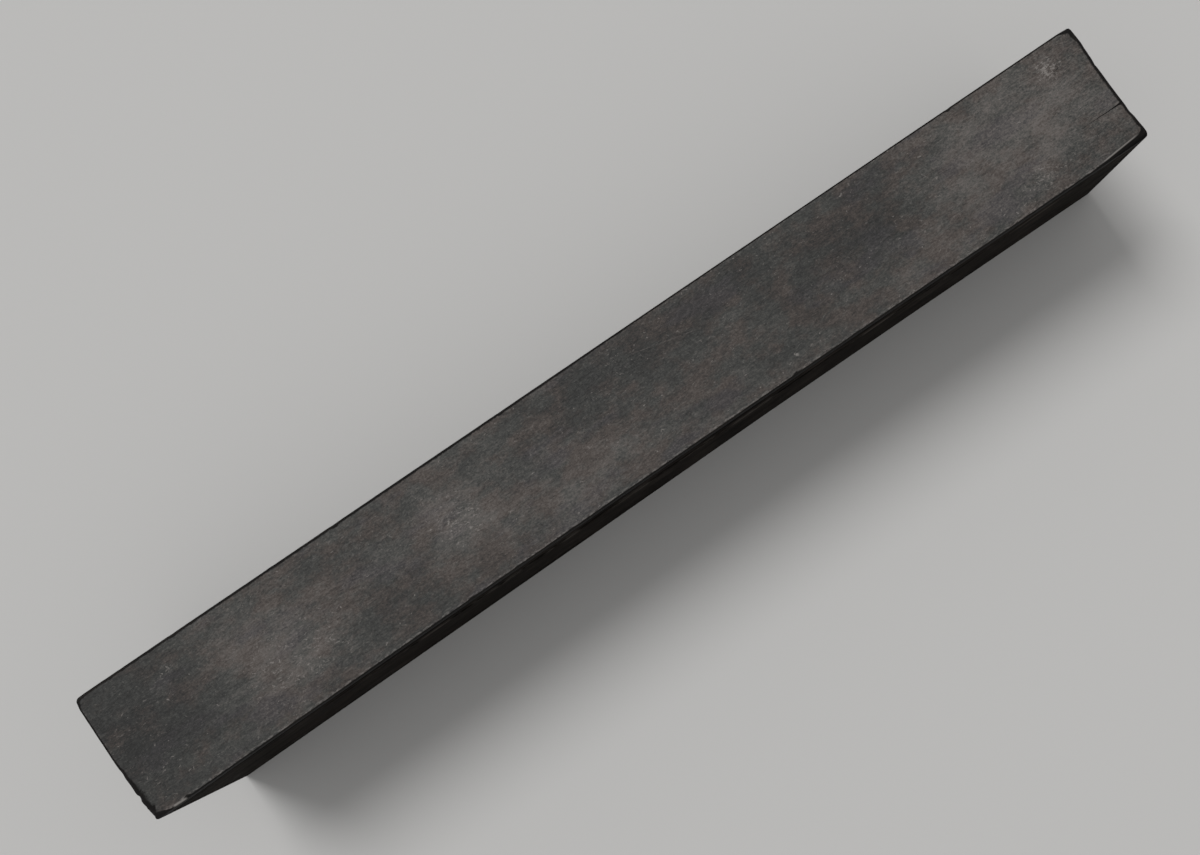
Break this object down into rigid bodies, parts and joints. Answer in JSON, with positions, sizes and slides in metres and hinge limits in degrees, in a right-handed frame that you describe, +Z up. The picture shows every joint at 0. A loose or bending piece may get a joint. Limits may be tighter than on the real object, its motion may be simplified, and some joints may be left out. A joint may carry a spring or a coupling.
{
  "type": "boxed ink stick",
  "caption": "Slim dark hardwood case with a lift-off lid, holding one moulded ink stick bedded in silk with a lifting ribbon.",
  "frame": {"origin": "middle of the underside of the closed case", "axes": "+X along the case towards its right end, -Y towards its front long side, +Z up out of the lid"},
  "size_m": [0.2399, 0.0282, 0.036],
  "materials": {
    "lid_top_wood": "dark stained hardwood, rubbed dull, cloudy with brown patches",
    "case_wood": "black stained hardwood, satin",
    "liner_wood": "dark brown hardwood, oiled",
    "bamboo": "plain split bamboo",
    "silk": "old gold silk, woven, padded",
    "ribbon_silk": "dark red silk ribbon with a woven edge",
    "ink": "moulded soot ink, satin black, relief touched with gold"
  },
  "bodies": {
    "base": {"floor_board": "case_wood", "front_wall": "case_wood", "back_wall": "case_wood", "left_wall": "case_wood", "right_wall": "case_wood", "front_liner": "liner_wood", "back_liner": "liner_wood", "left_liner": "liner_wood", "right_liner": "liner_wood", "floor_nails": "bamboo", "bed_cushion": "silk", "front_lining": "silk", "back_lining": "silk", "left_cushion": "silk", "right_cushion": "silk"},
    "lid": {"lid_board": "lid_top_wood", "lid_front_rim": "case_wood", "lid_back_rim": "case_wood", "lid_left_rim": "case_wood", "lid_right_rim": "case_wood", "lid_pegs": "bamboo", "lid_pad": "silk"},
    "stick": {"ink_stick": "ink", "lift_ribbon": "ribbon_silk"}
  },
  "joints": [
    {"name": "lid_lift", "type": "slide", "parent": "base", "child": "lid", "axis": [0, 0, 1], "range_m": [0, 0.08]},
    {"name": "stick_lift", "type": "slide", "parent": "base", "child": "stick", "axis": [0, 0, 1], "range_m": [0, 0.04]}
  ],
  "couplings": [
    {"joint": "stick_lift", "follows": "lid_lift", "ratio": 0.5}
  ]
}
